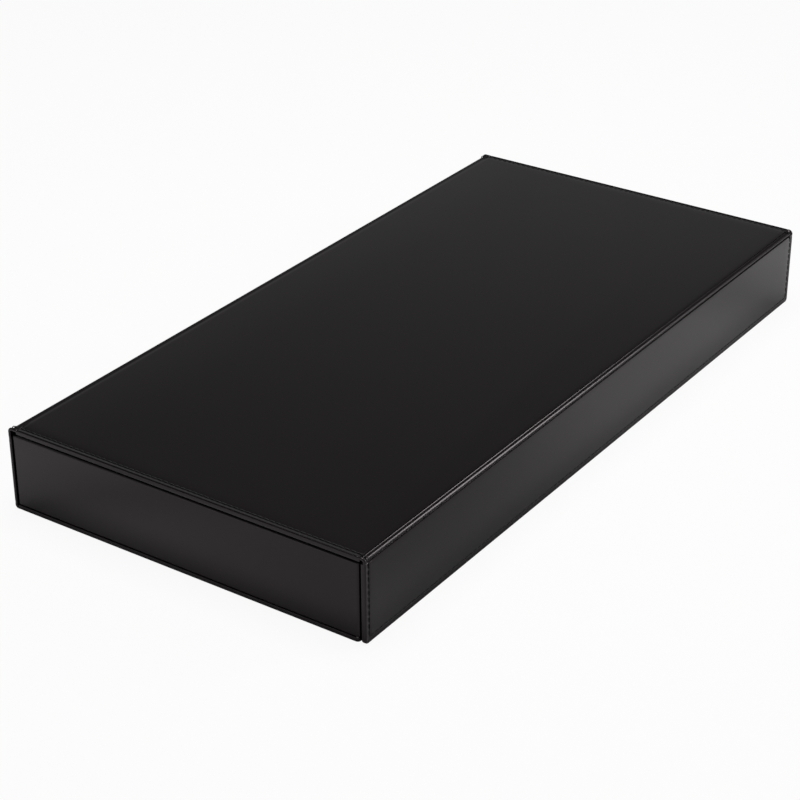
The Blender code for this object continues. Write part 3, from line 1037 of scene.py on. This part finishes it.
def makeStage(look):
    deselect()
    bpy.ops.mesh.primitive_plane_add(size=look["floorSize"], location=(0, 0, boxLow.z))
    floor = bpy.context.object
    floor.name = "studioFloor"
    settle(floor)
    material, tree, shader = newMaterial("studioFloor", Roughness=0.9, IOR=1.3)
    where = addNode(tree, "ShaderNodeTexCoord", output=3)
    seen = addNode(tree, "ShaderNodeLightPath", output=0)
    # Painted shade: for all rays but camera rays the floor's colour is darkened near a point beside the near right
    # corner, so its reflection in the box is darker there
    away = addNode(
        tree, "ShaderNodeVectorMath", {"operation": "DISTANCE"}, {0: where, 1: look["floorPaintedShadePlace"]}, output=1
    )
    paintedShade = ramp(tree, "floorDim", look["floorDim"], away)
    # Painted shade: the floor's colour for all but camera rays darkens towards the back left
    along = addNode(
        tree, "ShaderNodeVectorMath", {"operation": "DOT_PRODUCT"}, {0: where, 1: look["floorBackPaintedShadeWay"]}, output=1
    )
    start, end, near, far = look["floorBackPaintedShade"]
    shade = addNode(tree, "ShaderNodeMapRange", {"interpolation_type": "SMOOTHSTEP"}, {
        "Value": along, "From Min": start, "From Max": end, "To Min": near, "To Max": far,
    })
    dust = noise(tree, where, 3.0, 2.0)
    colour = mixColours(tree, seen, paintedShade * shade * (0.99 + dust * 0.02), grey(look["floorWhite"]))
    feed(tree, shader, Base_Color=colour)
    glow = addNode(tree, "ShaderNodeEmission", {}, {"Color": grey(1), "Strength": 1.0})
    blend = addNode(tree, "ShaderNodeMixShader", {}, {
        "Fac": seen * look["floorGlow"], 1: Wire(shader.outputs[0]), 2: glow,
    })
    tree.links.new(blend.socket, tree.nodes["Material Output"].inputs["Surface"])
    floor.data.materials.append(material)


def makeSky(look):
    world = bpy.data.worlds.new("studioSky")
    bpy.context.scene.world = world
    world.use_nodes = True
    tree = world.node_tree
    tree.nodes.clear()
    where = addNode(tree, "ShaderNodeTexCoord", output=0)
    height = addNode(tree, "ShaderNodeSeparateXYZ", {}, {"Vector": where}, output=2)
    along = addNode(
        tree, "ShaderNodeVectorMath", {"operation": "DOT_PRODUCT"}, {0: where, 1: look["frontWay"]}, output=1
    )
    front = addNode(tree, "ShaderNodeMapRange", {"interpolation_type": "SMOOTHSTEP"}, {
        "Value": along, "From Min": 0.76, "From Max": 0.93, "To Min": 0.0, "To Max": 1.0,
    })
    back = ramp(tree, "backSky", look["backSky"], height)
    fore = ramp(tree, "frontSky", look["frontSky"], height)
    seen = addNode(tree, "ShaderNodeLightPath", output=0)
    colour = mixColours(tree, seen, mixColours(tree, front, back, fore), grey(1))
    sky = addNode(tree, "ShaderNodeBackground", {}, {"Color": colour, "Strength": 1.0})
    output = tree.nodes.new("ShaderNodeOutputWorld")
    tree.links.new(sky.socket, output.inputs["Surface"])


def addLamp(name, look):
    direction = Vector(look["aim"]) - Vector(look["place"])
    turn = direction.to_track_quat("-Z", "Y").to_euler()
    bpy.ops.object.light_add(type="AREA", location=look["place"], rotation=turn)
    lamp = bpy.context.object
    lamp.name = name
    lamp.data.shape = "RECTANGLE"
    lamp.data.size, lamp.data.size_y = look["size"]
    lamp.data.energy = look["power"]


makeStage(stageLook)
makeSky(stageLook)
for name, row in stageLook["lamps"].items():
    addLamp(name, row)

cameraLook = {
    "place": (0.68096, -1.02577, 0.65840), "azimuth": 34.611, "elevation": 28.256, "roll": -0.226, "lens": 97.86,
}


def makeCamera(look):
    turn = Matrix.Rotation(math.radians(look["azimuth"]), 4, "Z")
    turn @= Matrix.Rotation(math.radians(90 - look["elevation"]), 4, "X")
    turn @= Matrix.Rotation(math.radians(look["roll"]), 4, "Z")
    bpy.ops.object.camera_add(location=look["place"], rotation=turn.to_euler())
    camera = bpy.context.object
    camera.name = "photoCamera"
    camera.data.sensor_width = 36
    camera.data.lens = look["lens"]
    camera.data.clip_start = 0.01
    camera.data.clip_end = 50
    bpy.context.scene.camera = camera


makeCamera(cameraLook)
bpy.context.scene.view_settings.view_transform = "Standard"
print("stage made")
